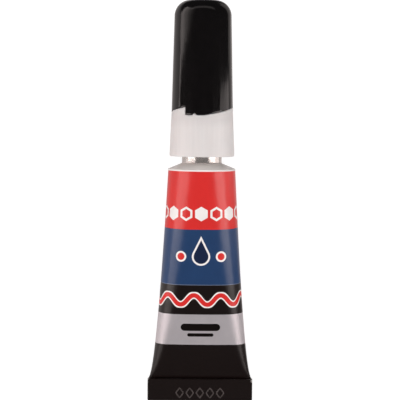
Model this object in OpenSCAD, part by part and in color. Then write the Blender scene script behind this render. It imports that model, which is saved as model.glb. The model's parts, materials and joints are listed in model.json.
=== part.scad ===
// Super glue tube: a collapsible metal tube lying on its belly, with a screw-down collar, a piercing
// nozzle and a cap that twists up the collar's ramps. Millimetres, +Z up.
// Each piece is drawn along the tube's own axis: z runs from the crimp to the cap, the printed front
// faces -y and the crimp runs along x. lie_down() then lays the piece on the surface, cap towards +Y.

/* [Tube] */
// Diameter of the round end of the tube
tube_d = 13.5; // [12.5:0.1:18]
// Length of the wall from the crimp up to the shoulder's rim
body_l = 42.5; // [30:0.5:60]
// Thickness of the tube's wall
wall = 0.15; // [0.1:0.01:0.25]
// Height of the shoulder from the rim to the neck
shoulder_h = 1.1; // [0.8:0.05:2.5]
// Thickness of the shoulder at the neck
shoulder_t = 0.5; // [0.3:0.05:0.7]
// Height of the straight rim under the shoulder's cone
rim_h = 0.25; // [0.1:0.05:0.5]
// How far the rim stands out from the wall
rim_bead = 0.05; // [0.03:0.01:0.2]

/* [Crimp] */
// Height of the folded crimp
crimp_h = 4.6; // [3.5:0.1:8]
// How far the pressed crimp spreads past the flat wall at each side
crimp_spread = 0.2; // [0.05:0.05:0.6]
// Thickness of the folded flap in front of the tail
flap_t = 0.7; // [0.4:0.05:1]
// Gap between the flap and the tail
flap_gap = 0.1; // [0.05:0.05:0.3]
// How far the flap ends below the top of the crimp
flap_drop = 0.3; // [0.1:0.05:1]
// Thickness of the latex strip in the tail
seal_t = 0.2; // [0.1:0.05:0.4]
// Height of the latex strip in the tail
seal_h = 3; // [1.5:0.1:3.2]

/* [Neck and thread] */
// Diameter of the plain neck
neck_d = 8; // [7:0.1:8.6]
// Diameter of the bore through the neck
bore_d = 4.4; // [3.4:0.1:5]
// Pitch of the neck's thread
thread_pitch = 1.25; // [0.8:0.05:1.4]
// Depth of the neck's thread
thread_depth = 0.5; // [0.3:0.05:0.7]
// Radial clearance between the neck's thread and the collar's
thread_clear = 0.12; // [0.08:0.01:0.2]
// Turns that screw the collar down to pierce the foil
pierce_turns = 1; // [0.5:0.25:1]

/* [Collar] */
// Height of bare neck under the collar
collar_gap = 1.75; // [1.6:0.05:4]
// Height of the collar up to the foot of its ramps
collar_h = 8.5; // [7.5:0.1:14]
// Diameter of the collar at its lower edge
collar_d = 13.1; // [12.8:0.1:16]
// Thickness of the collar's skirt
collar_wall = 0.8; // [0.5:0.05:1.2]
// Thickness of the wall around the collar's thread
socket_wall = 0.6; // [0.4:0.05:0.8]
// Thickness of the collar's lip, which carries the nozzle
lip_t = 1; // [0.7:0.1:1.6]
// Number of ribs between the collar's skirt and its thread
rib_count = 12; // [4:1:18]
// Thickness of each rib
rib_t = 0.5; // [0.3:0.05:0.8]
// Height of the spigot that guides the cap
spigot_h = 4; // [2:0.5:8]
// Thickness of the spigot's wall
spigot_wall = 0.8; // [0.6:0.05:1.1]

/* [Ramps] */
// Number of ramps round the edge between collar and cap
ramp_count = 3; // [2:1:4]
// Height of each ramp's step
ramp_h = 1.6; // [0.8:0.1:2.4]
// Angle of the level stretch at the foot of each ramp
ramp_flat = 37; // [30:1:45]
// Angle of the first step from the middle of the front
ramp_start = -34; // [-60:1:0]
// Gap between the collar's ramps and the cap's
ramp_gap = 0.1; // [0.06:0.02:0.2]
// Height of the nib that clicks into each tooth of the cap
nib_h = 0.35; // [0.1:0.05:0.5]
// Angle that each nib takes up
nib_span = 11; // [8:1:16]
// Angle from each step to its nib
nib_at = 19; // [16:1:21]

/* [Cap] */
// Diameter of the cap at the ramps
cap_d = 12.35; // [12:0.05:14]
// Diameter of the cap where its top starts to round
cap_top_d = 11.45; // [10.5:0.05:12]
// Height of the cap above the foot of the ramps
cap_h = 22.6; // [20:0.1:32]
// Radius of the cap's upper edge
cap_round = 3.2; // [1.5:0.1:3.6]
// Thickness of the cap's wall
cap_wall = 1; // [0.8:0.05:1.3]
// Radial clearance of the cap on the spigot
spigot_clear = 0.08; // [0.04:0.01:0.2]

/* [Nozzle] */
// Diameter of the nozzle where it passes the collar's lip
nozzle_d = 5.4; // [4:0.1:5.8]
// Diameter of the nozzle's tip
tip_d = 2.2; // [1.8:0.1:3]
// Diameter of the hole through the nozzle
orifice_d = 1; // [0.8:0.05:1.2]
// Thickness of the nozzle's flange
flange_t = 0.8; // [0.5:0.1:1.4]
// Diameter of the piercing spike at the flange
spike_d = 2.6; // [2.2:0.1:3.2]
// Diameter of the piercing spike at its point
spike_tip_d = 1.5; // [1.3:0.1:2]
// Height of the snap bead above the lip
bead_h = 0.5; // [0.3:0.05:0.8]
// How far the snap bead stands out
bead_out = 0.25; // [0.15:0.05:0.4]

/* [Liner and pin] */
// Diameter of the soft liner in the cap
liner_d = 6; // [4.8:0.1:6.4]
// Height of the liner
liner_h = 5; // [3:0.1:7]
// Depth of the nozzle's tip in the liner
tip_seat = 1.5; // [0.8:0.1:2]
// Thickness of the boss that holds the liner
boss_wall = 0.8; // [0.5:0.05:1]
// Diameter of the clog pin
pin_d = 0.6; // [0.4:0.05:0.7]
// Depth of the clog pin in the nozzle
pin_in_nozzle = 3.5; // [1:0.1:8]
// Depth of the clog pin in the liner
pin_in_liner = 2.4; // [1:0.1:2.8]

/* [Foil and gel] */
// Thickness of the foil across the neck
foil_t = 0.1; // [0.05:0.01:0.2]
// Height above the crimp where the gel begins
gel_from = 21; // [4:0.5:28]
// Gap drawn between the gel and the tube's wall
gel_gap = 0.1; // [0.05:0.01:0.2]

/* [Hidden] */
$fn = 96;

// Small clearances that several fits share
touch_gap = 0.05;
running_gap = 0.1;
plain_gap = 0.15;
facet_inset = 0.01;
cut_over = 1;

// How far the shapes that make up one piece reach into each other
lap = 0.1;

// Counts of facets
wall_sides = 48;
wall_rings = 16;
thread_sides = 24;
thread_steps = 12;
ramp_steps = 30;
arc_steps = 10;
step_turn = 0.15;

// Tube: a round of radius tube_r is pressed flat with its girth unchanged
tube_r = tube_d / 2;
tail_t = 2 * wall + seal_t;
tail_share = tail_t / tube_d;
rim_z = crimp_h + body_l;
rim_r = tube_r + rim_bead;
neck_z = rim_z + shoulder_h;
neck_r = neck_d / 2;
bore_r = bore_d / 2;
tail_half = flat_half(tail_t / 2);

// Thread: a round set off the axis, whose centre climbs a helix
thread_off = thread_depth / 2;
thread_r = neck_r - touch_gap - thread_off;
root_r = thread_r - thread_off;
pierce_travel = pierce_turns * thread_pitch;

// Collar, and what it carries, counted down from the foot of the ramps
collar_z = neck_z + collar_gap;
ramp_z = collar_z + collar_h;
lip_z = ramp_z - lip_t;
flange_z = lip_z - touch_gap - flange_t;
mouth_z = flange_z - touch_gap - pierce_travel - foil_t;
thread_z = collar_z + plain_gap;
socket_z = thread_z + pierce_travel + plain_gap;
socket_r = neck_r + plain_gap + socket_wall;
flange_r = root_r + thread_clear - running_gap;
nozzle_r = nozzle_d / 2;
lip_r = nozzle_r + running_gap;
ramp_r = cap_d / 2;
ramp_turn = 360 / ramp_count;
front_turn = -90;
ramp_foot = lip_t / 2;
gap_turn = ramp_gap / ramp_r * 180 / PI;

// Cap and what it holds, counted down from its top
cap_z = ramp_z + cap_h;
cap_top_r = cap_top_d / 2;
cap_bore_r = ramp_r - cap_wall;
spigot_r = cap_bore_r - spigot_clear;
spigot_z = ramp_z + spigot_h;
round_z = cap_z - cap_round;
round_r = cap_top_r - cap_round;
ring_z = ramp_z + ramp_h + ramp_gap + ramp_foot;
liner_z = cap_z - cap_wall - touch_gap - liner_h;
liner_r = liner_d / 2;
tip_z = liner_z + tip_seat;
tip_r = tip_d / 2;
orifice_r = orifice_d / 2;
bead_z = ramp_z + touch_gap;
cone_z = bead_z + bead_h;
spike_gap = 0.3;
spike_z = mouth_z + foil_t + spike_gap;

// Crimp
fold_t = tail_t + flap_gap + flap_t;
fold_r = fold_t / 2;
fold_y = tail_t / 2 - fold_r;
flap_z = crimp_h - flap_drop;
crimp_w = 2 * (tail_half + tail_t / 2 + crimp_spread);

// Lying down: the surface touches the rim and is tangent to the belly, and the box is centred
belly_share = (rim_r - sqrt(pow(rim_r, 2) - pow(tube_r, 2))) / tube_r;
tilt = atan(tube_r * (1 - pow(tail_share, 2)) / (2 * body_l * belly_share));
near_y = fold_y * sin(tilt) + fold_r * (cos(tilt) - 1);
far_y = round_r * sin(tilt) + round_z * cos(tilt) + cap_round;
lift = rim_r * cos(tilt) - rim_z * sin(tilt);

module lie_down() {
    translate([0, -(near_y + far_y) / 2, lift])
        rotate([tilt - 90, 0, 0])
            children();
}

// Half of the straight stretch of a section whose ends have radius r
function flat_half(r) = (tube_r - r) * PI / 2;

// Radius of the section's ends, and its height, for a share of the way from the tail to the round
function wall_r(share) = tube_r * max(share, tail_share);
function wall_z(share) =
    crimp_h + body_l * (pow(share, 2) - pow(tail_share, 2)) / (1 - pow(tail_share, 2));

// A section of the tube: two half rounds of radius r, set half apart
function section(r, half, z) = [
    for (i = [0 : wall_sides - 1])
        let (a = (i + 0.5) * 360 / wall_sides)
            [r * cos(a) + half * sign(cos(a)), r * sin(a), z]
];

// Sections of the wall from one share of the way to the other, drawn in by inset
function wall_sections(from, inset) = [
    for (i = [0 : wall_rings])
        let (share = from + (1 - from) * i / wall_rings, r = wall_r(share))
            section(r - inset, flat_half(r), wall_z(share))
];

// Faces between the rings of a closed net whose rings have count points
function net_faces(rings, count, first = 0, outward = true) = [
    for (i = [0 : rings - 2], j = [0 : count - 1])
        let (
            k = (j + 1) % count,
            a = first + i * count + j,
            b = first + i * count + k,
            c = b + count,
            d = a + count
        )
            each outward ? [[a, d, c], [a, c, b]] : [[a, c, d], [a, b, c]]
];

// Faces of the flat ring between two loops of count points, seen from above or from below
function ring_faces(outer, inner, count, up) = [
    for (j = [0 : count - 1])
        let (k = (j + 1) % count)
            each up
                ? [[outer + j, inner + j, inner + k], [outer + j, inner + k, outer + k]]
                : [[outer + j, outer + k, inner + k], [outer + j, inner + k, inner + j]]
];

// Points of an arc about [x, y]
function arc(x, y, r, from, to) = [
    for (i = [0 : arc_steps])
        let (a = from + (to - from) * i / arc_steps)
            [x + r * cos(a), y + r * sin(a)]
];

// Outer radius of the collar and of the cap at height z
function collar_r(z) = collar_d / 2 + (ramp_r - collar_d / 2) * (z - collar_z) / collar_h;
function cap_r(z) = ramp_r + (cap_top_r - ramp_r) * (z - ramp_z) / (round_z - ramp_z);

// Radius of the nozzle's cone at height z
function cone_r(z) = nozzle_r + (tip_r - nozzle_r) * (z - cone_z) / (tip_z - cone_z);

// Height of the ramp's edge above its foot, at an angle from its step, with its nib at another
function nib_rise(a) = abs(a) < nib_span / 2 ? nib_h * (1 + cos(360 * a / nib_span)) / 2 : 0;
function ramp_rise(a, nib) =
    a < ramp_flat ? nib_rise(a - nib) : ramp_h * (a - ramp_flat) / (ramp_turn - ramp_flat);

// Angles round the ramps, measured from each step
ramp_angles = [
    for (i = [0 : ramp_steps])
        step_turn + (ramp_turn - 2 * step_turn) * i / ramp_steps
];

// One loop of points round the ramps, with a radius and a height for each
function ramp_loop(turn, radius, height) = [
    for (n = [0 : ramp_count - 1], a = ramp_angles)
        let (z = height(a), t = front_turn + ramp_start + turn + n * ramp_turn + a)
            [radius(z) * cos(t), radius(z) * sin(t), z]
];

// A ring between two edges, either of which may be ramped
module ramp_ring(turn, inner, outer, low, high) {
    count = ramp_count * len(ramp_angles);
    polyhedron(
        points = concat(
            ramp_loop(turn, outer, low),
            ramp_loop(turn, outer, high),
            ramp_loop(turn, inner, low),
            ramp_loop(turn, inner, high)
        ),
        faces = concat(
            net_faces(2, count),
            net_faces(2, count, 2 * count, false),
            ring_faces(count, 3 * count, count, true),
            ring_faces(0, 2 * count, count, false)
        )
    );
}

// A closed solid through a stack of rings that have count points each
module stack(rings, count) {
    last = (len(rings) - 1) * count;
    polyhedron(
        points = [for (ring = rings) each ring],
        faces = concat(
            [[for (j = [0 : count - 1]) j]],
            net_faces(len(rings), count),
            [[for (j = [count - 1 : -1 : 0]) last + j]]
        )
    );
}

// A threaded rod from one height to another, whose phase depends on height alone
module thread(r, from, to) {
    steps = ceil(thread_steps * (to - from) / thread_pitch);
    rings = [
        for (i = [0 : steps])
            let (z = from + (to - from) * i / steps, turn = 360 * z / thread_pitch)
                [
                    for (j = [0 : thread_sides - 1])
                        let (a = 360 * j / thread_sides)
                            [r * cos(a) + thread_off * cos(turn), r * sin(a) + thread_off * sin(turn), z]
                ]
    ];
    stack(rings, thread_sides);
}

module bar(r, from, to) {
    translate([0, 0, from])
        cylinder(r = r, h = to - from);
}

// Points of one face of the wall, which laps into the crimp and into the rim
function wall_points(inset) = concat(
    section(tail_t / 2 - inset, tail_half, crimp_h - lap),
    [for (ring = wall_sections(tail_share, inset)) each ring],
    section(tube_r - inset, 0, rim_z + lap)
);

// The wall from the tail to the rim, open at both ends
module tube_wall() {
    rings = wall_rings + 3;
    count = rings * wall_sides;
    polyhedron(
        points = concat(wall_points(0), wall_points(wall)),
        faces = concat(
            net_faces(rings, wall_sides),
            net_faces(rings, wall_sides, count, false),
            ring_faces(count - wall_sides, 2 * count - wall_sides, wall_sides, true),
            ring_faces(0, count, wall_sides, false)
        )
    );
}

// Shoulder and plain neck, turned
module tube_head() {
    rotate_extrude()
        polygon([
            [tube_r - wall - lap, rim_z],
            [rim_r, rim_z],
            [rim_r, rim_z + rim_h],
            [neck_r, neck_z],
            [neck_r, thread_z],
            [bore_r, thread_z],
            [bore_r, neck_z - shoulder_t]
        ]);
}

module neck_thread() {
    difference() {
        thread(thread_r, thread_z - lap, mouth_z);
        bar(bore_r, thread_z - cut_over, mouth_z + cut_over);
    }
}

// Tail folded over to the front, with the slot for the latex strip
module crimp() {
    difference() {
        rotate([90, 0, 90])
            translate([0, 0, -crimp_w / 2])
                linear_extrude(crimp_w)
                    polygon(concat(
                        [[tail_t / 2, crimp_h]],
                        arc(fold_y, fold_r, fold_r, 0, -180),
                        [
                            [fold_y - fold_r, flap_z],
                            [-tail_t / 2 - flap_gap, flap_z],
                            [-tail_t / 2 - flap_gap, fold_r],
                            [-tail_t / 2, fold_r],
                            [-tail_t / 2, crimp_h]
                        ]
                    ));
        translate([-tail_half, -seal_t / 2, crimp_h - seal_h])
            cube([2 * tail_half, seal_t, seal_h + cut_over]);
    }
}

module tube_body() {
    color("firebrick")
        lie_down() {
            tube_wall();
            tube_head();
            neck_thread();
            crimp();
        }
}

module end_seal() {
    strip_t = seal_t - 2 * facet_inset;
    strip_w = 2 * (tail_half - facet_inset);
    color("khaki")
        lie_down()
            translate([-strip_w / 2, -strip_t / 2, crimp_h - seal_h])
                cube([strip_w, strip_t, seal_h]);
}

module foil_membrane() {
    color("silver")
        lie_down()
            bar(root_r - running_gap, mouth_z, mouth_z + foil_t);
}

// The filling, from its level in the flattened tube up to where the spike's point comes down
module glue_gel() {
    level = sqrt(gel_from / body_l);
    neck_fill_r = bore_r - gel_gap;
    rings = concat(
        wall_sections(level, wall + lap + gel_gap),
        [
            section(neck_fill_r, 0, neck_z - shoulder_t - gel_gap),
            section(neck_fill_r, 0, spike_z - pierce_travel - gel_gap)
        ]
    );
    color("lightcyan")
        lie_down()
            stack(rings, wall_sides);
}

// Spike, flange, snap bead and cone round one hole
module nozzle() {
    color("whitesmoke")
        lie_down()
            rotate_extrude()
                polygon([
                    [orifice_r, spike_z],
                    [spike_tip_d / 2, spike_z],
                    [spike_d / 2, flange_z],
                    [flange_r, flange_z],
                    [flange_r, flange_z + flange_t],
                    [nozzle_r, flange_z + flange_t],
                    [nozzle_r, bead_z],
                    [nozzle_r + bead_out, bead_z],
                    [nozzle_r, cone_z],
                    [tip_r, tip_z],
                    [orifice_r, tip_z]
                ]);
}

// Skirt, lip, threaded socket and spigot, turned
module collar_shell() {
    skirt_r = collar_r(lip_z) - collar_wall;
    rotate_extrude()
        polygon([
            [collar_r(collar_z) - collar_wall, collar_z],
            [collar_r(collar_z), collar_z],
            [collar_r(ramp_z - ramp_foot), ramp_z - ramp_foot],
            [spigot_r, ramp_z - ramp_foot],
            [spigot_r, spigot_z],
            [spigot_r - spigot_wall, spigot_z],
            [spigot_r - spigot_wall, ramp_z],
            [lip_r, ramp_z],
            [lip_r, lip_z],
            [neck_r + plain_gap, lip_z],
            [neck_r + plain_gap, collar_z],
            [socket_r, collar_z],
            [socket_r, lip_z],
            [skirt_r, lip_z]
        ]);
}

// The collar's thread, from its plain entry up to the lip
module collar_thread() {
    difference() {
        bar(socket_r - socket_wall / 2, socket_z, lip_z);
        thread(thread_r + thread_clear, socket_z - thread_pitch, lip_z + thread_pitch);
    }
}

// Ribs that stand in the skirt and in the wall of the socket
module collar_ribs() {
    inner = socket_r - socket_wall / 2;
    sunk = collar_wall / 2;
    foot = collar_z + plain_gap;
    head = lip_z + lip_t / 4;
    for (i = [0 : rib_count - 1])
        rotate((i + 0.5) * 360 / rib_count)
            translate([0, rib_t / 2, 0])
                rotate([90, 0, 0])
                    linear_extrude(rib_t)
                        polygon([
                            [inner, foot],
                            [collar_r(foot) - sunk, foot],
                            [collar_r(head) - sunk, head],
                            [inner, head]
                        ]);
}

module collar() {
    foot_z = ramp_z - ramp_foot - lap;
    color("gainsboro")
        lie_down() {
            collar_shell();
            collar_thread();
            collar_ribs();
            ramp_ring(
                0,
                function (z) spigot_r - spigot_wall / 2,
                function (z) collar_r(z) - facet_inset,
                function (a) foot_z,
                function (a) ramp_z + ramp_rise(a, nib_at)
            );
        }
}

// Shell of the cap above its ramps
module cap_shell() {
    difference() {
        rotate_extrude()
            polygon(concat(
                [[0, ring_z], [cap_r(ring_z), ring_z]],
                arc(round_r, round_z, cap_round, 0, 90),
                [[0, cap_z]]
            ));
        rotate_extrude()
            polygon(concat(
                [
                    [0, ring_z - cut_over],
                    [cap_bore_r, ring_z - cut_over],
                    [cap_bore_r, spigot_z + plain_gap]
                ],
                arc(round_r, round_z, cap_round - cap_wall, 0, 90),
                [[0, cap_z - cap_wall]]
            ));
    }
}

// Shell and boss, with the seat for the liner cut out of both
module cap_seated() {
    seat_r = liner_r + touch_gap;
    difference() {
        union() {
            cap_shell();
            bar(seat_r + boss_wall, liner_z, cap_z - cap_wall / 2);
        }
        bar(seat_r, liner_z - cut_over, cap_z - cap_wall);
    }
}

module cap() {
    color("dimgray")
        lie_down() {
            cap_seated();
            ramp_ring(
                gap_turn,
                function (z) cap_bore_r + facet_inset,
                function (z) cap_r(z) - facet_inset,
                function (a) ramp_z + ramp_gap + ramp_rise(a, nib_at - gap_turn),
                function (a) ring_z + lap
            );
        }
}

// Plug with a seat for the nozzle's tip and a hole for the pin
module cap_liner() {
    color("ivory")
        lie_down()
            rotate_extrude()
                polygon([
                    [cone_r(liner_z) + running_gap, liner_z],
                    [liner_r, liner_z],
                    [liner_r, liner_z + liner_h],
                    [0, liner_z + liner_h],
                    [0, tip_z + pin_in_liner],
                    [pin_d / 2, tip_z + pin_in_liner],
                    [pin_d / 2, tip_z + running_gap],
                    [tip_r + running_gap, tip_z + running_gap]
                ]);
}

module clog_pin() {
    color("slategray")
        lie_down()
            bar(pin_d / 2, tip_z - pin_in_nozzle, tip_z + pin_in_liner);
}

tube_body();
end_seal();
foil_membrane();
glue_gel();
nozzle();
collar();
cap_liner();
clog_pin();
cap();
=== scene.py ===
import json
import math

import bmesh
import bpy
import numpy as np
from mathutils import Matrix, Vector


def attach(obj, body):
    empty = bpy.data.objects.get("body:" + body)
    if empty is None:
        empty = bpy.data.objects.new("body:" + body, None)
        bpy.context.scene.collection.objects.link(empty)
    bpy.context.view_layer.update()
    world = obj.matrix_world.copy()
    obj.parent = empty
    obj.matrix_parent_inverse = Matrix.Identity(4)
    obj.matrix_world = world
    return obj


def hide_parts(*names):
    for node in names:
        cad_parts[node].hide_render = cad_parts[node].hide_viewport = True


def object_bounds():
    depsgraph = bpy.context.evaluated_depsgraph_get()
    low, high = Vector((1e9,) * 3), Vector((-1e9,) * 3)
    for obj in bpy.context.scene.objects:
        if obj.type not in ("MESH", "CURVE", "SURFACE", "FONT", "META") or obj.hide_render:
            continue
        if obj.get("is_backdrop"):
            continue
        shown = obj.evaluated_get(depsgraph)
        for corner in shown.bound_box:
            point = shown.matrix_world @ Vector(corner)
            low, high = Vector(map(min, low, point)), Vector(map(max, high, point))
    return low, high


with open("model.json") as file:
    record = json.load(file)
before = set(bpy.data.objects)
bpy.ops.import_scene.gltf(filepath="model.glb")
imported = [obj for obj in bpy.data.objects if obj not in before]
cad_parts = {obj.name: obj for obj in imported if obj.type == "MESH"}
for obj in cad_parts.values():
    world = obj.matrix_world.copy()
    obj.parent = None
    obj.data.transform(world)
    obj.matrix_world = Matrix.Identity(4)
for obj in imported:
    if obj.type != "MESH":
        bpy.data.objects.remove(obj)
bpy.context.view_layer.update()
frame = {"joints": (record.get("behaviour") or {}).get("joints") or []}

# Sizes are in millimetres along the tube's own axis: z runs from the crimp to the cap, and the printed
# front faces -y. place() takes them to the frame, which is in metres.
MM = 0.001

# Tube
TUBE_R = 6.75
GIRTH = 2 * math.pi * TUBE_R
BODY_L = 42.5
WALL = 0.15
RIM_R = 6.8
RIM_H = 0.1
SHOULDER_H = 1.25
PRESS_SPREAD = 0.16
SHOULDER_T = 0.5
BORE_R = 2.2
NECK_R = 4.0

# Crimp
CRIMP_H = 4.6
CRIMP_SPREAD = 0.15
SEAL_T = 0.2
SEAL_H = 3.0
TAIL_T = 2 * WALL + SEAL_T
FLAP_T = 0.7
FLAP_GAP = 0.1
FLAP_TOP = CRIMP_H - 0.05
FOLD_R = (TAIL_T + FLAP_GAP + FLAP_T) / 2

# Thread: a round set off the axis, whose centre climbs a helix
PITCH = 1.25
THREAD_OFF = 0.25
THREAD_R = NECK_R - 0.05 - THREAD_OFF
THREAD_CLEAR = 0.12

# Heights, counted up from the crimp
RIM_Z = CRIMP_H + BODY_L
NECK_Z = RIM_Z + SHOULDER_H
COLLAR_Z = NECK_Z + 1.6
RAMP_Z = COLLAR_Z + 8.5
EDGE_Z = RAMP_Z - 0.42
CAP_Z = RAMP_Z + 22.6
THREAD_Z = COLLAR_Z + 0.15
SOCKET_Z = THREAD_Z + PITCH + 0.15
LIP_Z = RAMP_Z - 1.0
FLANGE_Z = LIP_Z - 0.85
MOUTH_Z = FLANGE_Z - 0.05 - PITCH - 0.1
SPIGOT_Z = RAMP_Z + 4.0
LINER_Z = CAP_Z - 6.05
TIP_Z = LINER_Z + 1.5

# Collar, cap and what they hold
COLLAR_R = 6.55
COLLAR_WALL = 0.8
SKIRT_Z = COLLAR_Z - 0.2
SOCKET_R = NECK_R + 0.15
SOCKET_WALL = 0.6
LIP_R = 2.8
RIB_COUNT = 12
RIB_T = 0.5
RIB_Z = COLLAR_Z + 0.15
RIB_TURN = 360 / RIB_COUNT
RIB_HALF_TURN = math.degrees(RIB_T / 2 / (SOCKET_R + SOCKET_WALL))
RAMP_R = 6.175
CAP_TOP_R = 5.725
CAP_ROUND = 3.2
CAP_WALL = 1.0
CAP_BORE_R = RAMP_R - CAP_WALL
SPIGOT_R = CAP_BORE_R - 0.08
SPIGOT_WALL = 0.8
LINER_R = 3.0
PIN_R = 0.3
TIP_R = 1.1
ORIFICE_R = 0.5
FOIL_R = 3.35

# Ramps between collar and cap, in degrees round the axis from the middle of the front
FRONT = -90
RAMP_COUNT = 3
RAMP_TURN = 360 / RAMP_COUNT
RAMP_START = -34
RAMP_FLAT = 37
RAMP_H = 1.6
RAMP_GAP = 0.1
NIB_AT = 19
NIB_SPAN = 11
NIB_H = 0.35
STEP_TURN = 0.15

# Heights of the printed bands' lower edges, read at the side of the tube
RED_END = 35.51
BLUE_END = 24.32
UPPER_BLACK_END = 18.3
SILVER_END = 11.98

# How far a printed ring sags in the middle of the front and the back, at half the wall's height
PRINT_SAG = 0.26

# Print measured from the rim down: where it starts, the pale line at the rim and the line below the blue
PRINT_TOP = -0.2
RIM_LINE = 0.1
BLUE_LINE = 0.1

# Height and width of the flap's upper corners that are rubbed to bare metal
CORNER_WEAR = 0.5
END_WEAR = 0.35

# Counts of facets
COLUMNS = 256
ROUND = 360
WALL_RINGS = 110
THREAD_STEPS = 14

# Meshing: points closer than this become one, and bends above this angle stay sharp
MERGE = 0.0001
SHARP_ANGLE = 35


# Place in the frame

joints = {joint["name"]: joint for joint in frame["joints"]}
axis = Vector(joints["collar_turn"]["axis"]).normalized()
ramp_foot = Vector(joints["collar_turn"]["pos_m"])
side = Vector((1, 0, 0))
back = axis.cross(side)
to_frame = (
    Matrix.Translation(ramp_foot)
    @ Matrix((side, back, axis)).transposed().to_4x4()
    @ Matrix.Scale(MM, 4)
    @ Matrix.Translation((0, 0, -RAMP_Z))
)


def place(points):
    """Points of the tube's own axes, in the frame."""
    matrix = np.array(to_frame)
    return np.asarray(points) @ matrix[:3, :3].T + matrix[:3, 3]


# Meshes


def grid_faces(rings, columns, closed=False):
    """Quads between rings that each go round once, and from the last ring to the first if closed."""
    faces = []
    for i in range(rings if closed else rings - 1):
        k = (i + 1) % rings
        for j in range(columns):
            m = (j + 1) % columns
            faces.append((i * columns + j, i * columns + m, k * columns + m, k * columns + j))
    return faces


def flat_end(ring, columns):
    """Quads across a flat ring, from its front columns to the matching back ones."""
    first = ring * columns
    last = first + columns - 1
    return [(first + j, first + j + 1, last - j - 1, last - j) for j in range(columns // 2 - 1)]


def piece(name, points, faces, material, body, node, uv=None):
    """A smooth closed mesh that stands for a node and rides on its body."""
    mesh = bpy.data.meshes.new(name)
    mesh.from_pydata(place(points).tolist(), [], faces)
    mesh.materials.append(material)
    if uv is not None:
        mesh.uv_layers.new(name="print").data.foreach_set("uv", uv.ravel())
    shape = bmesh.new()
    shape.from_mesh(mesh)
    bmesh.ops.remove_doubles(shape, verts=shape.verts, dist=MERGE * MM)
    bmesh.ops.recalc_face_normals(shape, faces=shape.faces)
    shape.to_mesh(mesh)
    shape.free()
    mesh.shade_smooth()
    mesh.set_sharp_from_angle(angle=math.radians(SHARP_ANGLE))
    obj = bpy.data.objects.new(name, mesh)
    bpy.context.scene.collection.objects.link(obj)
    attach(obj, body)
    if node:
        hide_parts(node)
    return obj


def outline(corners):
    """Points through (radius, height, fillet, kind) corners, with each corner rounded by its fillet."""
    points = []
    for i, (r, z, fillet, kind) in enumerate(corners):
        if not fillet:
            points.append((r, z, kind))
            continue
        here = np.array((r, z))
        before = np.array(corners[i - 1][:2]) - here
        after = np.array(corners[(i + 1) % len(corners)][:2]) - here
        before = before / np.linalg.norm(before)
        after = after / np.linalg.norm(after)
        half = math.acos(np.clip(before @ after, -1, 1)) / 2
        middle = (before + after) / np.linalg.norm(before + after)
        centre = here + middle * fillet / math.sin(half)
        start = here + before * fillet / math.tan(half) - centre
        end = here + after * fillet / math.tan(half) - centre
        sweep = math.pi - 2 * half
        steps = 4 + round(6 * fillet)
        for k in range(steps + 1):
            a = sweep * k / steps
            arm = (math.sin(sweep - a) * start + math.sin(a) * end) / math.sin(sweep)
            points.append((*(centre + arm), kind))
    return points


def plain(*corners):
    """Corners of one kind, given as (radius, height, fillet)."""
    return [(*corner, "plain") for corner in corners]


def round_angles(count, edges=(), width=STEP_TURN):
    """Even angles in degrees, with a close pair at each edge so that a step there is steep."""
    angles = set(np.arange(count) * 360 / count)
    for edge in edges:
        angles = {a for a in angles if abs((a - edge + 180) % 360 - 180) > 1.5 * width}
        angles |= {(edge - width) % 360, (edge + width) % 360}
    return np.array(sorted(angles))


def revolve(rings, angles, closed):
    """Points and faces round the axis through rings of (radii, heights) over the angles."""
    a = np.radians(angles)
    points = []
    for r, z in rings:
        r = np.broadcast_to(r, a.shape)
        z = np.broadcast_to(z, a.shape)
        points.append(np.stack([r * np.cos(a), r * np.sin(a), z], axis=1))
    return np.concatenate(points), grid_faces(len(rings), len(angles), closed)


def nib_rise(a):
    """Height of the nib at an angle from its middle."""
    return np.where(np.abs(a) < NIB_SPAN / 2, NIB_H * (1 + np.cos(2 * np.pi * a / NIB_SPAN)) / 2, 0)


def ramp_steps(turn=0):
    """Angles of the ramps' steps."""
    return [FRONT + RAMP_START + turn + n * RAMP_TURN for n in range(RAMP_COUNT)]


def ramp_rise(angles, turn=0):
    """Height of the ramps' edge above its foot."""
    a = (angles - FRONT - RAMP_START - turn) % RAMP_TURN
    slope = RAMP_H * (a - RAMP_FLAT) / (RAMP_TURN - RAMP_FLAT)
    return np.where(a < RAMP_FLAT, nib_rise(a - NIB_AT + turn), slope)


def thread_radius(r, angles, z):
    """Radius of a threaded surface at angles in degrees."""
    a = np.radians(angles - 360 * z / PITCH)
    return THREAD_OFF * np.cos(a) + np.sqrt(r**2 - (THREAD_OFF * np.sin(a)) ** 2)


def thread_heights(low, high):
    """Heights of the rings that draw a thread."""
    count = math.ceil(THREAD_STEPS * (high - low) / PITCH)
    return np.linspace(low, high, count + 1)


# Sections of the tube: a round pressed flat

column_u = -GIRTH / 4 + (np.arange(COLUMNS) + 0.5) * GIRTH / COLUMNS
is_back = column_u > GIRTH / 4
column_s = np.where(is_back, GIRTH / 2 - column_u, column_u)
column_angle = np.degrees(column_u / TUBE_R) + FRONT


def flat_half(r):
    """Half of the straight stretch of a section whose ends have radius r."""
    return (TUBE_R - r) * math.pi / 2 + PRESS_SPREAD * 4 * r * (TUBE_R - r) / TUBE_R**2


def section(r, inset=0.0):
    """x and y of every column on the section whose ends have radius r, drawn in by inset."""
    half = flat_half(r)
    along = np.abs(column_s) * (half + r * math.pi / 2) / (GIRTH / 4)
    a = np.maximum(along - half, 0) / r
    x = np.sign(column_s) * (np.minimum(along, half) + (r - inset) * np.sin(a))
    y = np.where(is_back, 1, -1) * (r - inset) * np.cos(a)
    return x, y


TAIL_SHARE = TAIL_T / 2 / TUBE_R


def wall_height(share):
    """Height of the section whose ends have that share of the tube's radius."""
    return CRIMP_H + BODY_L * (share**2 - TAIL_SHARE**2) / (1 - TAIL_SHARE**2)


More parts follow.
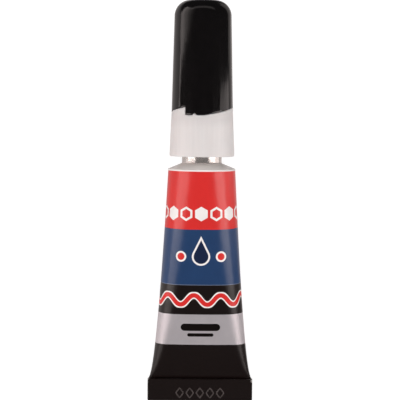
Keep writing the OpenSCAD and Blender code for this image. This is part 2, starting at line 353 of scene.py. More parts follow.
# Soft dents in the wall, as (place round the girth, height, width, depth)
DENTS = [
    (-3.4, 27.0, 4.5, 0.07),
    (2.8, 34.5, 3.6, 0.05),
    (4.4, 17.0, 4.0, 0.06),
    (-5.2, 39.0, 3.0, 0.04),
    (17.5, 30.0, 4.2, 0.07),
    (24.5, 21.0, 3.8, 0.06),
]


def dent_depth(z):
    """How far each column is pressed in at height z."""
    depth = np.zeros(COLUMNS)
    for u, height, width, deep in DENTS:
        gap = (column_u - u + GIRTH / 2) % GIRTH - GIRTH / 2
        depth += deep * np.exp(-(gap**2 + (z - height) ** 2) / width**2)
    return depth


def wall_ring(share, inset=0.0):
    """One ring of the wall."""
    z = wall_height(share)
    x, y = section(TUBE_R * share, inset + dent_depth(z) * share * (1 - share**4))
    return x, y, np.full(COLUMNS, z)


def fold_path(outer_y, inner_y, turn_r):
    """(y, z) along one face of the folded tail, from the flap's top, round the fold and up the tail."""
    centre = (outer_y + inner_y) / 2
    flap = [(outer_y, z) for z in np.linspace(FLAP_TOP, FOLD_R, 24, endpoint=False)]
    turn = [
        (centre + turn_r * math.cos(a), FOLD_R + turn_r * math.sin(a))
        for a in np.linspace(-math.pi, 0, 16)
    ]
    tail = [(inner_y, z) for z in np.linspace(FOLD_R, CRIMP_H, 16)[1:]]
    return np.array(flap + turn + tail)


def crimp_rings():
    """Rings of the crimp from the flap's top edge to the foot of the wall."""
    flap_back = -TAIL_T / 2 - FLAP_GAP
    middle = flap_back - FLAP_T / 2
    bevel = 0.12
    buckle_depth = 0.02
    buckle_fade = 2.0
    outer = fold_path(flap_back - FLAP_T, TAIL_T / 2, FOLD_R)
    inner = fold_path(flap_back, -TAIL_T / 2, FLAP_GAP / 2)
    tail_x, tail_y = section(TAIL_T / 2)
    share = (tail_y / (TAIL_T / 2) + 1) / 2
    x = tail_x * (1 + CRIMP_SPREAD / np.abs(tail_x).max())
    buckle = buckle_depth * np.sin(x * 0.9 + 0.6)
    rings = []
    for (outer_y, outer_z), (inner_y, inner_z) in zip(outer, inner):
        fade = np.clip((FLAP_TOP - outer_z) / buckle_fade, 0, 1) * (outer_y < flap_back)
        y = inner_y + share * (outer_y - inner_y) + buckle * fade
        z = inner_z + share * (outer_z - inner_z)
        rings.append((x, y, z))
    top_x, top_y, top_z = rings[0]
    rings[0] = (top_x, top_y, top_z - bevel)
    rings.insert(0, (top_x * 0.995, middle + (top_y - middle) * 0.6, top_z))
    return rings


def head_rings():
    """Rings of the rim, the shoulder, the threaded neck, the bore and the shoulder's inside."""
    outside = outline(
        plain(
            (TUBE_R, RIM_Z - 0.1, 0),
            (RIM_R, RIM_Z, 0.05),
            (RIM_R, RIM_Z + RIM_H, 0.12),
            (NECK_R, NECK_Z, 0.3),
            (NECK_R, THREAD_Z, 0),
        )
    )
    inside = outline(
        plain(
            (THREAD_R - THREAD_OFF - 0.1, MOUTH_Z, 0),
            (BORE_R, MOUTH_Z, 0.2),
            (BORE_R, NECK_Z - SHOULDER_T, 0.3),
            (TUBE_R - WALL, RIM_Z - 0.2, 0),
        )
    )
    rings = [(np.full(COLUMNS, r), z) for r, z, _ in outside]
    for z in thread_heights(THREAD_Z, MOUTH_Z)[1:]:
        lead = min(1, (MOUTH_Z - z) / 0.5 + 0.4)
        rings.append((THREAD_R + (thread_radius(THREAD_R, column_angle, z) - THREAD_R) * lead, z))
    rings += [(np.full(COLUMNS, r), z) for r, z, _ in inside]
    a = np.radians(column_angle)
    return [(r * np.cos(a), r * np.sin(a), np.full(COLUMNS, z)) for r, z in rings]


def tube_grid():
    """Points of the tube, ring by ring, and each ring's distance from the rim along the tube's side."""
    shares = np.sqrt(np.linspace(TAIL_SHARE**2, 0.994, WALL_RINGS))
    crimp = crimp_rings()
    wall = [wall_ring(share) for share in shares]
    head = head_rings()
    lining = [wall_ring(share, WALL) for share in shares[::-4]]
    slot_x, slot_y = section(TAIL_T / 2, WALL)
    slot = [(slot_x, slot_y, np.full(COLUMNS, z)) for z in (CRIMP_H, CRIMP_H - SEAL_H)]
    rings = np.array(crimp + wall + head + lining + slot).transpose(0, 2, 1)
    steps = np.linalg.norm(np.diff(rings, axis=0), axis=2)
    run = np.concatenate([np.zeros((1, COLUMNS)), np.cumsum(steps, axis=0)])
    rim = len(crimp) + len(wall)
    side_run = run[:, COLUMNS // 2]
    return rings, side_run[rim] - side_run


# Materials


def linear(red, green, blue):
    """A screen colour of 0 to 255 as light."""
    shares = [c / 255 for c in (red, green, blue)]
    return tuple(c / 12.92 if c <= 0.04045 else ((c + 0.055) / 1.055) ** 2.4 for c in shares) + (1.0,)


class Shader:
    """A material's nodes, with short ways to add to them."""

    def __init__(self, name, **sockets):
        self.material = bpy.data.materials.new(name)
        self.material.use_nodes = True
        self.nodes = self.material.node_tree.nodes
        self.surface = self.nodes["Principled BSDF"]
        for socket, value in sockets.items():
            self.surface.inputs[socket.replace("_", " ")].default_value = value

    def feed(self, socket, value):
        if isinstance(value, bpy.types.NodeSocket):
            self.material.node_tree.links.new(value, socket)
        else:
            socket.default_value = value

    def node(self, kind, inputs=(), **settings):
        made = self.nodes.new(kind)
        for setting, value in settings.items():
            setattr(made, setting, value)
        for socket, value in dict(inputs).items():
            self.feed(made.inputs[socket], value)
        return made

    def math(self, operation, *values):
        inputs = dict(enumerate(values))
        return self.node("ShaderNodeMath", inputs, operation=operation).outputs[0]

    def within(self, distance, soft=0.02):
        """1 where a distance is below zero, 0 where it is above, with a soft edge."""
        made = self.node("ShaderNodeMapRange", {0: distance, 1: -soft, 2: soft, 3: 1.0, 4: 0.0})
        return made.outputs[0]

    def mix(self, share, low, high):
        """A colour between two."""
        made = self.node("ShaderNodeMix", data_type="RGBA")
        self.feed(made.inputs["Factor"], share)
        self.feed(made.inputs[6], low)
        self.feed(made.inputs[7], high)
        return made.outputs[2]

    def between(self, share, low, high):
        """A number between two."""
        return self.node("ShaderNodeMapRange", {0: share, 1: 0.0, 2: 1.0, 3: low, 4: high}).outputs[0]

    def own(self, stretch=(1, 1, 1)):
        """Coordinates on the piece itself, in millimetres, with the tube's length along z."""
        where = self.node("ShaderNodeTexCoord").outputs["Object"]
        turned = self.node("ShaderNodeMapping", {0: where, 2: (math.pi / 2, 0, 0), 3: (1 / MM,) * 3})
        return self.node("ShaderNodeMapping", {0: turned.outputs[0], 3: stretch}).outputs[0]

    def height(self):
        """Height along the tube's axis, in millimetres."""
        where = self.node("ShaderNodeTexCoord").outputs["Object"]
        along = self.node("ShaderNodeVectorMath", {0: where, 1: axis}, operation="DOT_PRODUCT")
        start = RAMP_Z - axis.dot(ramp_foot) / MM
        return self.math("MULTIPLY_ADD", along.outputs["Value"], 1 / MM, start)

    def noise(self, where, scale, detail=3.0):
        made = self.node("ShaderNodeTexNoise", {"Vector": where, "Scale": scale, "Detail": detail})
        return made.outputs[0]

    def colour(self, value):
        self.feed(self.surface.inputs["Base Color"], value)

    def rough(self, value):
        self.feed(self.surface.inputs["Roughness"], value)

    def bump(self, height, distance):
        """Fine relief, with the distance in millimetres."""
        inputs = {"Height": height, "Distance": distance * MM, "Strength": 1.0}
        self.feed(self.surface.inputs["Normal"], self.node("ShaderNodeBump", inputs).outputs[0])


WHITE = linear(246, 240, 238)
RED = linear(222, 30, 26)
BLUE = linear(26, 61, 106)
DEEP_BLUE = linear(16, 34, 70)
BLACK = linear(23, 15, 14)
SILVER = linear(222, 215, 219)
PALE_LINE = linear(112, 124, 148)
METAL = linear(232, 226, 222)


# Print: u runs round the tube and v down from the rim, in millimetres. Each motif takes the colour below it
# and gives the colour with the motif on top.


def disc(shader, x, y, r):
    """Distance to the edge of a disc."""
    reach = shader.math("SQRT", shader.math("MULTIPLY_ADD", x, x, shader.math("MULTIPLY", y, y)))
    return shader.math("SUBTRACT", reach, r)


def bar(shader, x, y, half, r):
    """Distance to the edge of a bar with round ends."""
    along = shader.math("SUBTRACT", shader.math("ABSOLUTE", x), half - r)
    return disc(shader, shader.math("MAXIMUM", along, 0.0), y, r)


def with_edge(shader, colour, distance, width, edge, inside):
    """A motif with an edge of another colour round it."""
    colour = shader.mix(shader.within(shader.math("SUBTRACT", distance, width)), colour, edge)
    return shader.mix(shader.within(distance), colour, inside)


def lay_bands(shader, v, red_end, blue_end, black_end, silver_end):
    """Plain bands of colour."""
    bands = [
        (RIM_LINE, RED),
        (red_end, BLUE),
        (blue_end - BLUE_LINE, PALE_LINE),
        (blue_end, BLACK),
        (black_end, SILVER),
        (silver_end, BLACK),
    ]
    colour = WHITE
    for start, ink in bands:
        colour = shader.mix(shader.within(shader.math("SUBTRACT", start, v)), colour, ink)
    return colour


def lay_hexagons(shader, colour, u, v, middle):
    """A row of hexagons all round, by turns full and open."""
    count = 14
    pitch = GIRTH / count
    hex_r = 1.25
    line = 0.42
    x = shader.math("ABSOLUTE", shader.math("WRAP", u, pitch / 2, -pitch / 2))
    y = shader.math("ABSOLUTE", shader.math("SUBTRACT", v, middle))
    slant = shader.math("ADD", shader.math("MULTIPLY", x, 0.5), shader.math("MULTIPLY", y, math.sqrt(0.75)))
    hexagon = shader.math("SUBTRACT", shader.math("MAXIMUM", x, slant), hex_r)
    turn = shader.math("FLOOR", shader.math("DIVIDE", shader.math("ADD", u, pitch / 2), pitch))
    is_open = shader.math("ABSOLUTE", shader.math("MODULO", turn, 2.0))
    hollow = shader.math("MULTIPLY", is_open, shader.within(shader.math("ADD", hexagon, line)))
    return shader.mix(shader.math("SUBTRACT", shader.within(hexagon), hollow), colour, WHITE)


def lay_drop(shader, colour, u, v, middle):
    """A drop between two dots."""
    drop_r = 1.45
    drop_h = 3.3
    dot_r = 0.72
    dot_at = 4.0
    line = 0.36
    lean = math.asin(drop_r / drop_h)
    across = shader.math("ABSOLUTE", u)
    y = shader.math("MULTIPLY", shader.math("SUBTRACT", v, middle), -1.0)
    cone = shader.math(
        "ADD",
        shader.math("MULTIPLY", across, math.cos(lean)),
        shader.math("MULTIPLY", shader.math("SUBTRACT", y, drop_h), math.sin(lean)),
    )
    is_cone = shader.math("GREATER_THAN", y, drop_r * math.sin(lean))
    drop = shader.node("ShaderNodeMix", {0: is_cone, 2: disc(shader, u, y, drop_r), 3: cone}).outputs[0]
    dot = disc(shader, shader.math("SUBTRACT", across, dot_at), y, dot_r)
    colour = with_edge(shader, colour, drop, line, WHITE, DEEP_BLUE)
    return with_edge(shader, colour, dot, line, WHITE, RED)


def lay_wave(shader, colour, u, v, middle):
    """A wavy line all round."""
    count = 8
    wave_h = 0.95
    wave_r = 0.45
    line = 0.26
    wave_k = 2 * math.pi * count / GIRTH
    phase = shader.math("MULTIPLY", u, wave_k)
    rise = shader.math("MULTIPLY", shader.math("SINE", phase), wave_h)
    slope = shader.math("MULTIPLY", shader.math("COSINE", phase), wave_h * wave_k)
    steep = shader.math("SQRT", shader.math("MULTIPLY_ADD", slope, slope, 1.0))
    off = shader.math("ABSOLUTE", shader.math("SUBTRACT", shader.math("SUBTRACT", v, middle), rise))
    wave = shader.math("SUBTRACT", shader.math("DIVIDE", off, steep), wave_r)
    return with_edge(shader, colour, wave, line, WHITE, RED)


def lay_bars(shader, colour, u, v, middle):
    """A wide bar over a narrow one."""
    wide = bar(shader, u, shader.math("SUBTRACT", v, middle - 0.5), 3.9, 0.75)
    narrow = bar(shader, u, shader.math("SUBTRACT", v, middle + 1.1), 2.6, 0.35)
    return shader.mix(shader.within(shader.math("MINIMUM", wide, narrow)), colour, BLACK)


def bare_share(shader, u, v, height):
    """1 where metal shows: above the print and in patches at the flap's upper corners."""
    end = shader.math("SUBTRACT", GIRTH / 4 - END_WEAR, shader.math("ABSOLUTE", u))
    below = shader.math("SUBTRACT", FLAP_TOP - CORNER_WEAR, height)
    corner = shader.math("MAXIMUM", below, shader.math("SUBTRACT", height, FLAP_TOP))
    edge = shader.math("MULTIPLY", shader.within(end, 0.2), shader.within(corner, 0.2))
    patch = shader.within(shader.math("SUBTRACT", 0.5, shader.noise(shader.own(), 1.6)), 0.05)
    over_rim = shader.within(shader.math("SUBTRACT", v, PRINT_TOP), 0.01)
    return shader.math("MAXIMUM", over_rim, shader.math("MULTIPLY", edge, patch))


def printed_metal(run_at_side):
    """The tube's printed skin: bands and plain motifs over bare metal, by place on the unrolled print."""
    shader = Shader("printed_metal", Coat_Weight=0.3, Coat_Roughness=0.22, IOR=1.5)
    where = shader.node("ShaderNodeUVMap", uv_map="print").outputs[0]
    parts = shader.node("ShaderNodeSeparateXYZ", {0: where})
    u, v = parts.outputs[0], parts.outputs[1]
    folded_u = shader.math("WRAP", u, GIRTH / 4, -GIRTH / 4)
    height = shader.height()
    red_end, blue_end, black_end, silver_end = (
        run_at_side(z) for z in (RED_END, BLUE_END, UPPER_BLACK_END, SILVER_END)
    )
    colour = lay_bands(shader, v, red_end, blue_end, black_end, silver_end)
    colour = lay_hexagons(shader, colour, u, v, red_end - 3.1)
    colour = lay_drop(shader, colour, folded_u, v, (red_end + blue_end) / 2 - 0.2)
    colour = lay_wave(shader, colour, u, v, (blue_end + black_end) / 2)
    colour = lay_bars(shader, colour, folded_u, v, (black_end + silver_end) / 2)
    bare = bare_share(shader, folded_u, v, height)
    colour = shader.mix(bare, colour, METAL)

    # Slight unevenness of the ink
    shade = shader.between(shader.noise(shader.own(), 0.35, 4.0), 0.9, 1.08)
    tint = shader.node("ShaderNodeCombineColor", {0: shade, 1: shade, 2: shade}).outputs[0]
    inputs = {0: 1.0, 6: colour, 7: tint}
    toned = shader.node("ShaderNodeMix", inputs, data_type="RGBA", blend_type="MULTIPLY")
    shader.colour(toned.outputs[2])

    # Shine of bare metal and silver ink
    is_silver = shader.math(
        "MULTIPLY",
        shader.within(shader.math("SUBTRACT", black_end, v)),
        shader.within(shader.math("SUBTRACT", v, silver_end)),
    )
    is_neck = shader.within(shader.math("SUBTRACT", NECK_Z, height), 0.1)
    bare_shine = shader.math("MULTIPLY", bare, shader.between(is_neck, 0.1, 0.75))
    shiny = shader.math("MAXIMUM", bare_shine, shader.math("MULTIPLY", is_silver, 0.55))
    shader.feed(shader.surface.inputs["Metallic"], shiny)

    # Grain along the tube
    fine = shader.noise(shader.own((1, 1, 0.08)), 9.0)
    ink_rough = shader.between(is_silver, 0.28, 0.4)
    skin_rough = shader.node("ShaderNodeMix", {0: bare, 2: ink_rough, 3: 0.16}).outputs[0]
    shader.rough(shader.math("ADD", skin_rough, shader.between(fine, 0.0, 0.08)))
    lumps = shader.noise(shader.own(), 0.9, 2.0)
    shader.bump(shader.math("MULTIPLY_ADD", fine, 0.15, lumps), 0.03)
    return shader.material


def black_plastic():
    """Glossy moulded plastic with faint flow lines and hairline scratches."""
    shader = Shader("black_plastic", IOR=1.5)
    own = shader.own()
    flow = shader.noise(shader.own((1, 1, 0.05)), 2.2)
    cloud = shader.noise(own, 0.6, 5.0)
    shader.colour(shader.mix(cloud, linear(9, 8, 8), linear(17, 14, 15)))
    shader.rough(shader.between(flow, 0.06, 0.14))
    shader.bump(shader.math("ADD", flow, shader.math("MULTIPLY", cloud, 0.3)), 0.02)
    return shader.material


def natural_plastic(name, tone, depth, painted_shade_above=None):
    """Unpigmented plastic that light goes into, with faint drawing lines, and painted shade that darkens it
    above a height.
    """
    shader = Shader(name, IOR=1.49, Subsurface_Weight=1.0, Subsurface_Scale=depth * MM)
    shader.surface.inputs["Subsurface Radius"].default_value = (1.0, 0.93, 0.9)
    lines = shader.noise(shader.own((1, 1, 0.04)), 1.5, 5.0)
    cloud = shader.noise(shader.own(), 0.4)
    shade = shader.math("ADD", shader.math("MULTIPLY", lines, 0.7), shader.math("MULTIPLY", cloud, 0.3))
    darker = tuple(c * 0.86 for c in tone[:3]) + (1.0,)
    # Painted shade: the colour goes darker above that height, standing in for the shade that the black cap
    # casts into the plastic.
    if painted_shade_above is not None:
        over = shader.math("SUBTRACT", painted_shade_above, shader.height())
        shade = shader.math("SUBTRACT", shade, shader.math("MULTIPLY", shader.within(over, 1.2), 0.7))
    shader.colour(shader.mix(shade, darker, tone))
    shader.rough(shader.between(lines, 0.3, 0.42))
    shader.bump(lines, 0.02)
    return shader.material


def worn_ink():
    """Black ink over raised marks, rubbed paler on top."""
    shader = Shader("worn_ink", IOR=1.5)
    patch = shader.noise(shader.own(), 2.0)
    shader.colour(shader.mix(patch, linear(40, 33, 32), linear(92, 82, 80)))
    shader.rough(shader.between(patch, 0.3, 0.45))
    shader.bump(patch, 0.02)
    return shader.material


def bright_metal(name, tone, metallic=1.0):
    """Rolled or drawn metal with fine lines."""
    shader = Shader(name, Metallic=metallic)
    lines = shader.noise(shader.own((1, 6, 1)), 3.0, 5.0)
    darker = tuple(c * 0.8 for c in tone[:3]) + (1.0,)
    shader.colour(shader.mix(lines, darker, tone))
    shader.rough(shader.between(lines, 0.2, 0.4))
    shader.bump(lines, 0.01)
    return shader.material


def clear_gel():
    """Clear gel with a faint haze."""
    shader = Shader("clear_gel", IOR=1.45, Transmission_Weight=0.9)
    haze = shader.noise(shader.own(), 0.5)
    shader.colour(shader.mix(haze, linear(225, 236, 236), linear(246, 250, 248)))
    shader.rough(shader.between(haze, 0.05, 0.15))
    shader.bump(haze, 0.05)
    return shader.material


def latex():
    """Cream sealing compound, a little lumpy."""
    shader = Shader("latex", IOR=1.5)
    lumps = shader.noise(shader.own(), 1.2)
    shader.colour(shader.mix(lumps, linear(205, 188, 140), linear(232, 220, 178)))
    shader.rough(shader.between(lumps, 0.5, 0.7))
    shader.bump(lumps, 0.05)
    return shader.material


# Pieces


def make_tube():
    rings, run = tube_grid()
    count = len(rings)
    faces = flat_end(0, COLUMNS) + grid_faces(count, COLUMNS) + flat_end(count - 1, COLUMNS)
    side_column = COLUMNS // 2
    heights = rings[:, side_column, 2]
    wall = slice(np.argmax(heights > CRIMP_H - 0.01), np.argmax(heights >= RIM_Z))

    def run_at_side(z):
        return float(np.interp(z, heights[wall], run[wall]))

    corners = np.array(faces)
    u = column_u[corners % COLUMNS]
    wraps = np.ptp(u, axis=1, keepdims=True) > GIRTH / 2
    ends = np.arange(len(faces)) < COLUMNS // 2 - 1
    ends |= ends[::-1]
    u = np.where(wraps & (u < GIRTH / 4) & ~ends[:, None], u + GIRTH, u)
    share = np.clip((rings[:, :, 2] - CRIMP_H) / BODY_L, 0, 1)
    sag = PRINT_SAG * np.sin(np.pi * share) * (1 - (column_s / (GIRTH / 4)) ** 2)
    v = run[:, None] - sag
    uv = np.stack([u, v[corners // COLUMNS, corners % COLUMNS]], axis=2)
    material = printed_metal(run_at_side)
    piece("printed_tube", rings.reshape(-1, 3), faces, material, "tube", "tube_body", uv)


def make_crimp_marks():
    """A row of raised lozenge outlines on the flap."""
    count = 5
    power = 1.15
    spacing = 2.05
    half_w = 0.72
    half_h = 0.95
    stroke_r = 0.13
    relief = 0.09
    middle_z = 1.75
    face_y = -TAIL_T / 2 - FLAP_GAP - FLAP_T
    along = np.linspace(0, 2 * math.pi, 48, endpoint=False)
    round_stroke = np.linspace(0, 2 * math.pi, 10, endpoint=False)
    points = []
    faces = []
    for i in range(count):
        x = (i - (count - 1) / 2) * spacing
        for a in along:
            reach = (abs(math.cos(a)) ** power + abs(math.sin(a)) ** power) ** (-1 / power)
            for b in round_stroke:
                grow = reach + stroke_r * math.cos(b) / half_w
                px = x + half_w * grow * math.cos(a)
                pz = middle_z + half_h * grow * math.sin(a)
                points.append((px, face_y + relief * math.sin(b), pz))
        first = i * len(along) * len(round_stroke)
        rings = grid_faces(len(along), len(round_stroke), closed=True)
        faces += [tuple(first + v for v in face) for face in rings]
    piece("crimp_marks", points, faces, worn_ink(), "tube", None)


def rib_drop(angles):
    """How far the collar's ceiling comes down at its ribs."""
    gap = angles % RIB_TURN - RIB_TURN / 2
    return np.where(np.abs(gap) < RIB_HALF_TURN, LIP_Z - RIB_Z, 0)


def lathe(corners, angles, closed=True, turn=0, taper=0):
    """Points and faces of an outline taken round the axis. A corner's kind says how it varies on the way."""
    rise = ramp_rise(angles, turn)
    rings = []
    for r, z, kind in outline(corners):
        if kind == "thread":
            rings.append((thread_radius(r, angles, z), z))
        elif kind == "rib":
            rings.append((r, z - rib_drop(angles)))
        elif kind == "ramp":
            rings.append((r + taper * rise, z + rise))
        elif kind == "ramp foot":
            rings.append((r, z + rise))
        else:
            rings.append((r, z))
    return revolve(rings, angles, closed)


def make_collar():
    taper = (RAMP_R - COLLAR_R) / (RAMP_Z - COLLAR_Z)
    socket_out = SOCKET_R + SOCKET_WALL
    ceiling_r = COLLAR_R + taper * (LIP_Z - COLLAR_Z) - COLLAR_WALL
    spigot_in = SPIGOT_R - SPIGOT_WALL
    edge_h = 0.3
    edge_r = COLLAR_R + taper * (EDGE_Z - COLLAR_Z)
    corners = [
        (COLLAR_R - COLLAR_WALL, SKIRT_Z, 0.15, "plain"),
        (COLLAR_R, SKIRT_Z, 0.2, "plain"),
        (edge_r - taper * edge_h, EDGE_Z - edge_h, 0, "ramp"),
        (edge_r, EDGE_Z, 0.12, "ramp"),
        (SPIGOT_R, EDGE_Z, 0, "ramp foot"),
    ]
    corners += plain(
        (SPIGOT_R, SPIGOT_Z, 0.25),
        (spigot_in, SPIGOT_Z, 0.25),
        (spigot_in, RAMP_Z, 0.3),
        (LIP_R, RAMP_Z, 0.1),
        (LIP_R, LIP_Z, 0.1),
    )
    corners += [(THREAD_R + THREAD_CLEAR, z, 0, "thread") for z in thread_heights(SOCKET_Z, LIP_Z)[::-1]]
    corners += plain((SOCKET_R, SOCKET_Z, 0), (SOCKET_R, COLLAR_Z, 0.12), (socket_out, COLLAR_Z, 0.12))
    corners += [(socket_out, LIP_Z, 0, "rib"), (ceiling_r, LIP_Z, 0, "rib")]
    ribs = [(i + 0.5) * RIB_TURN + way * RIB_HALF_TURN for i in range(RIB_COUNT) for way in (-1, 1)]
    angles = round_angles(ROUND, ramp_steps() + ribs)
    points, faces = lathe(corners, angles, taper=taper)
    # The collar gets painted shade from 1.2 mm under the ramps' edge upwards, for the cap over it.
    material = natural_plastic("collar_plastic", linear(233, 228, 227), 1.0, EDGE_Z - 1.2)
    piece("moulded_collar", points, faces, material, "collar", "collar")


def make_cap():
    taper = (CAP_TOP_R - RAMP_R) / (CAP_Z - CAP_ROUND - RAMP_Z)
    turn = math.degrees(RAMP_GAP / RAMP_R)
    edge_z = EDGE_Z + RAMP_GAP
    edge_h = 0.3
    inner_r = CAP_TOP_R - CAP_WALL
    inner_z = CAP_Z - 1.35
    seat_r = LINER_R + 0.05
    boss_r = seat_r + 0.8

    def outer_r(z):
        return RAMP_R + taper * (z - RAMP_Z)

    corners = plain((0, CAP_Z, 0), (outer_r(CAP_Z), CAP_Z, CAP_ROUND))
    corners += [
        (outer_r(edge_z + edge_h), edge_z + edge_h, 0, "ramp"),
        (outer_r(edge_z), edge_z, 0.1, "ramp"),
        (CAP_BORE_R, edge_z, 0, "ramp foot"),
    ]
    corners += plain(
        (CAP_BORE_R, SPIGOT_Z + 0.15, 0),
        (inner_r, CAP_Z - CAP_ROUND, 0),
        (inner_r, inner_z, 0.8),
        (boss_r, inner_z, 0.1),
        (boss_r, LINER_Z, 0.2),
        (seat_r, LINER_Z, 0.1),
        (seat_r, CAP_Z - CAP_WALL, 0),
        (0, CAP_Z - CAP_WALL, 0),
    )
    angles = round_angles(ROUND, ramp_steps(turn))
    points, faces = lathe(corners, angles, False, turn, taper)
    piece("moulded_cap", points, faces, black_plastic(), "cap", "cap")


def make_nozzle():
    flange_r = THREAD_R - THREAD_OFF + 0.02
    stem_r = LIP_R - 0.1
    root_z = RAMP_Z + 0.05
    corners = plain(
        (ORIFICE_R, FLANGE_Z - 1, 0),
        (ORIFICE_R + 0.25, FLANGE_Z - 1, 0.05),
        (ORIFICE_R + 0.8, FLANGE_Z, 0.1),
        (flange_r, FLANGE_Z, 0.1),
        (flange_r, LIP_Z - 0.05, 0.1),
        (stem_r, LIP_Z - 0.05, 0.1),
        (stem_r, root_z, 0),
        (LIP_R + 0.15, root_z, 0.06),
        (stem_r, root_z + 0.5, 0.2),
        (TIP_R, TIP_Z, 0.2),
        (ORIFICE_R, TIP_Z, 0.1),
    )
    points, faces = lathe(corners, round_angles(ROUND // 3))
    material = natural_plastic("nozzle_plastic", linear(236, 234, 228), 1.0)
    piece("moulded_nozzle", points, faces, material, "nozzle", "nozzle")


def make_liner_and_pin():
    seat_low = TIP_R + 0.237
    seat_high = TIP_R + 0.1
    seat_z = TIP_Z + 0.1
    pin_low = LINER_Z - 2.0
    pin_high = LINER_Z + 3.9
    corners = plain(
        (0, CAP_Z - CAP_WALL - 0.05, 0),
        (LINER_R, CAP_Z - CAP_WALL - 0.05, 0.2),
        (LINER_R, LINER_Z, 0.2),
        (seat_low, LINER_Z, 0.1),
        (seat_high, seat_z, 0),
        (PIN_R, seat_z, 0),
        (PIN_R, pin_high, 0),
        (0, pin_high, 0),
    )
    points, faces = lathe(corners, round_angles(ROUND // 3), closed=False)
    material = natural_plastic("liner_plastic", linear(222, 224, 226), 0.8)
    piece("moulded_liner", points, faces, material, "cap_plug", "cap_liner")
    pin_gap = 0.01
    pin_r = PIN_R - pin_gap
    pin_top = pin_high - pin_gap
    corners = plain((0, pin_top, 0), (pin_r, pin_top, 0.05), (pin_r, pin_low, 0.15), (0, pin_low, 0))
    points, faces = lathe(corners, round_angles(ROUND // 10), closed=False)
    material = bright_metal("pin_steel", linear(190, 188, 186))
    piece("drawn_pin", points, faces, material, "cap_plug", "clog_pin")


def make_foil():
    top = MOUTH_Z + 0.1
    groove_r = 1.8
    corners = plain(
        (0, top - 0.02, 0),
        (groove_r - 0.2, top - 0.02, 0.1),
        (groove_r, top - 0.05, 0.1),
        (groove_r + 0.2, top, 0.1),
        (FOIL_R, top, 0.03),
        (FOIL_R, MOUTH_Z, 0.03),
        (0, MOUTH_Z, 0),
    )
    points, faces = lathe(corners, round_angles(ROUND // 3), closed=False)
    material = bright_metal("foil_metal", linear(224, 222, 220))
    piece("foil_disc", points, faces, material, "tube", "foil_membrane")


def make_gel():
    inset = 0.35
    level = 21
    level_share = math.sqrt(level / BODY_L)
    neck_r = BORE_R - 0.1
    top_z = MOUTH_Z - 0.95
    rings = [wall_ring(share, inset) for share in np.linspace(level_share, 1, 40)]
    a = np.radians(column_angle)
    for z in (NECK_Z - SHOULDER_T - 0.1, top_z):
        rings.append((neck_r * np.cos(a), neck_r * np.sin(a), np.full(COLUMNS, z)))
    points = np.array(rings).transpose(0, 2, 1).reshape(-1, 3)
    count = len(rings)
    faces = flat_end(0, COLUMNS) + grid_faces(count, COLUMNS) + flat_end(count - 1, COLUMNS)
    piece("gel_filling", points, faces, clear_gel(), "tube", "glue_gel")


def make_seal():
    half_w = 10.2
    half_t = SEAL_T / 2 - 0.01
    tail_x, tail_y = section(TAIL_T / 2)
    x = tail_x * half_w / np.abs(tail_x).max()
    y = tail_y * half_t / (TAIL_T / 2)
    rings = []
    for z in np.linspace(CRIMP_H - SEAL_H, CRIMP_H, 9):
        thin = 1 - 0.15 * np.sin(1.3 * x + 2 * z) ** 2
        rings.append((x, y * thin, np.full(COLUMNS, z)))
    points = np.array(rings).transpose(0, 2, 1).reshape(-1, 3)
    count = len(rings)
    faces = flat_end(0, COLUMNS) + grid_faces(count, COLUMNS) + flat_end(count - 1, COLUMNS)
    piece("seal_strip", points, faces, latex(), "tube", "end_seal")


make_tube()
make_crimp_marks()
make_collar()
make_cap()
make_nozzle()
make_liner_and_pin()
make_foil()
make_gel()
make_seal()


# Studio

AIM_X = -0.3
AIM_Z = 40.88
AIM_LEAN = math.radians(3.5)
AIM_ROLL = math.radians(0.5)
CAMERA_GAP = 0.350
LENS = 156
LIGHT_GAP = 0.30

# Soft lights as (name, start angle, end angle, low, high, radiance): angles round the tube from the camera's
# line, heights along it
SOFTBOXES = [
    ("left_edge", -92, -99, 45, 400, 1.5),
    ("left_middle", -40, -86, -8, 44, 3.4),
    ("left_low", -40, -86, -80, -8, 1.0),
    ("right_high", 70, 119, 28, 78, 1.3),
    ("right_middle", 41, 80, -8, 44, 4.0),
    ("right_low", 46, 84, -80, -8, 1.0),
]

# A light that fades towards the front and downwards, in strips
STRIPS = 7
STRIP_START = -36
STRIP_TURN = 8
STRIP_LOW = 100
STRIP_DROP = 2
STRIP_HIGH = 400
STRIP_RADIANCE = 1.8
STRIP_FADE = 1.6
for i in range(STRIPS):
    start = STRIP_START - i * STRIP_TURN
    radiance = STRIP_RADIANCE * ((i + 1) / STRIPS) ** STRIP_FADE
    low = STRIP_LOW - i * STRIP_DROP
    SOFTBOXES.append((f"left_high_{i}", start, start - STRIP_TURN, low, STRIP_HIGH, radiance))

# Lights that reflections don't show, and lights that only reflections show
FILLS = [
    ("top_fill", -75, 75, -900, 1000, 0.84),
    ("right_fill", 55, 105, 40, 300, 0.8),
]
GLINTS = [
    ("right_edge", 121, 152, 28, 400, 0.36),
    ("past_cap", -60, 60, 500, 900, 0.5),
]
LIGHT_TINT = (1.0, 0.9, 0.87)

aim = Vector(place([(AIM_X, 0, AIM_Z)])[0])
view = (axis * math.sin(AIM_LEAN) - back * math.cos(AIM_LEAN)).normalized()


def turned(x, y, z, at):
    """A matrix with these axes at that place."""
    matrix = Matrix((x, y, z)).transposed().to_4x4()
    matrix.translation = at
    return matrix


def make_camera():
    data = bpy.data.cameras.new("photo_camera")
    data.lens = LENS
    data.clip_start = 0.01
    obj = bpy.data.objects.new("photo_camera", data)
    bpy.context.scene.collection.objects.link(obj)
    right = side * math.cos(AIM_ROLL) + view.cross(side) * math.sin(AIM_ROLL)
    obj.matrix_world = turned(right, view.cross(right), view, aim + view * CAMERA_GAP)
    bpy.context.scene.camera = obj


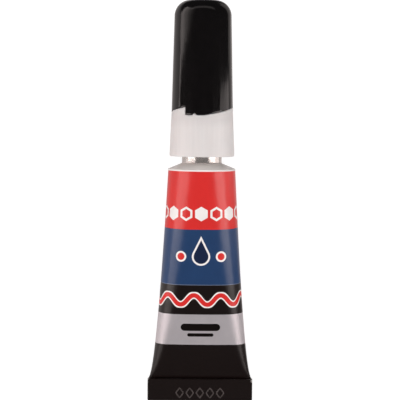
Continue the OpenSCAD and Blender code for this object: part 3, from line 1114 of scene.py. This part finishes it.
def softbox(name, start, end, low, high, radiance, in_gloss=True, in_diffuse=True):
    """A soft light round the tube, from one angle off the camera's line to another, between two heights."""
    middle = math.radians((start + end) / 2)
    towards = view * math.cos(middle) + side * math.sin(middle)
    data = bpy.data.lights.new(name, "AREA")
    data.shape = "RECTANGLE"
    data.size = 2 * LIGHT_GAP * math.tan(math.radians(abs(end - start) / 2))
    data.size_y = (high - low) * MM
    data.energy = radiance * math.pi * data.size * data.size_y
    obj = bpy.data.objects.new(name, data)
    bpy.context.scene.collection.objects.link(obj)
    at = aim + axis * ((low + high) / 2 - AIM_Z) * MM + towards * LIGHT_GAP
    along = (axis - towards * axis.dot(towards)).normalized()
    obj.matrix_world = turned(along.cross(towards), along, towards, at)
    obj.visible_camera = False
    obj.visible_glossy = in_gloss
    obj.visible_diffuse = in_diffuse
    if in_gloss:
        data.color = LIGHT_TINT


def make_backdrop():
    """A pale floor that curves up all round."""
    flat_r = 1.2
    curve_r = 0.6
    profile = [(0.0, 0.0), (0.1, 0.0), (0.4, 0.0)]
    for a in np.linspace(0, math.pi / 2, 13):
        profile.append((flat_r + curve_r * math.sin(a), curve_r * (1 - math.cos(a))))
    profile.append((flat_r + curve_r, 1.6))
    columns = 96
    a = np.linspace(0, 2 * math.pi, columns, endpoint=False)
    points = [(r * math.cos(t), r * math.sin(t), z) for r, z in profile for t in a]
    mesh = bpy.data.meshes.new("backdrop")
    mesh.from_pydata(points, [], grid_faces(len(profile), columns))
    shape = bmesh.new()
    shape.from_mesh(mesh)
    bmesh.ops.remove_doubles(shape, verts=shape.verts, dist=MERGE * MM)
    bmesh.ops.recalc_face_normals(shape, faces=shape.faces)
    shape.to_mesh(mesh)
    shape.free()
    mesh.shade_smooth()
    shader = Shader("pale_paper", Roughness=0.9)
    grain = shader.noise(shader.own(), 0.02)
    shader.colour(shader.mix(grain, linear(140, 140, 140), linear(146, 146, 146)))
    shader.surface.inputs["Emission Color"].default_value = (1.0, 1.0, 1.0, 1.0)
    shader.surface.inputs["Emission Strength"].default_value = 0.85
    mesh.materials.append(shader.material)
    obj = bpy.data.objects.new("backdrop", mesh)
    bpy.context.scene.collection.objects.link(obj)
    obj.visible_diffuse = False
    obj.visible_glossy = False
    obj.visible_transmission = False
    obj.visible_shadow = False
    obj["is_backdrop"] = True


def make_world():
    """A dim room over a grey ground that comes up higher on the left and at the crimp's end."""
    ground_up = (0.36, 0.5, 0.93)
    ground_end = 0.23
    room_start = 0.31
    ground_light = (0.5, 0.46, 0.45, 1.0)
    room_light = (0.03, 0.03, 0.03, 1.0)
    world = bpy.data.worlds.new("studio")
    world.use_nodes = True
    bpy.context.scene.world = world
    nodes = world.node_tree.nodes
    links = world.node_tree.links
    where = nodes.new("ShaderNodeTexCoord")
    lean = nodes.new("ShaderNodeVectorMath")
    height = nodes.new("ShaderNodeMapRange")
    ground = nodes.new("ShaderNodeValToRGB")
    lean.operation = "DOT_PRODUCT"
    lean.inputs[1].default_value = ground_up
    height.inputs["From Min"].default_value = -1.0
    elements = ground.color_ramp.elements
    elements[0].position = ground_end
    elements[0].color = ground_light
    elements[1].position = room_start
    elements[1].color = room_light
    links.new(where.outputs["Generated"], lean.inputs[0])
    links.new(lean.outputs["Value"], height.inputs["Value"])
    links.new(height.outputs[0], ground.inputs[0])
    links.new(ground.outputs[0], nodes["Background"].inputs["Color"])


make_camera()
make_backdrop()
make_world()
for light in SOFTBOXES:
    softbox(*light)
for light in FILLS:
    softbox(*light, in_gloss=False)
for light in GLINTS:
    softbox(*light, in_diffuse=False)
bpy.context.scene.view_settings.view_transform = "Standard"

low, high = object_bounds()
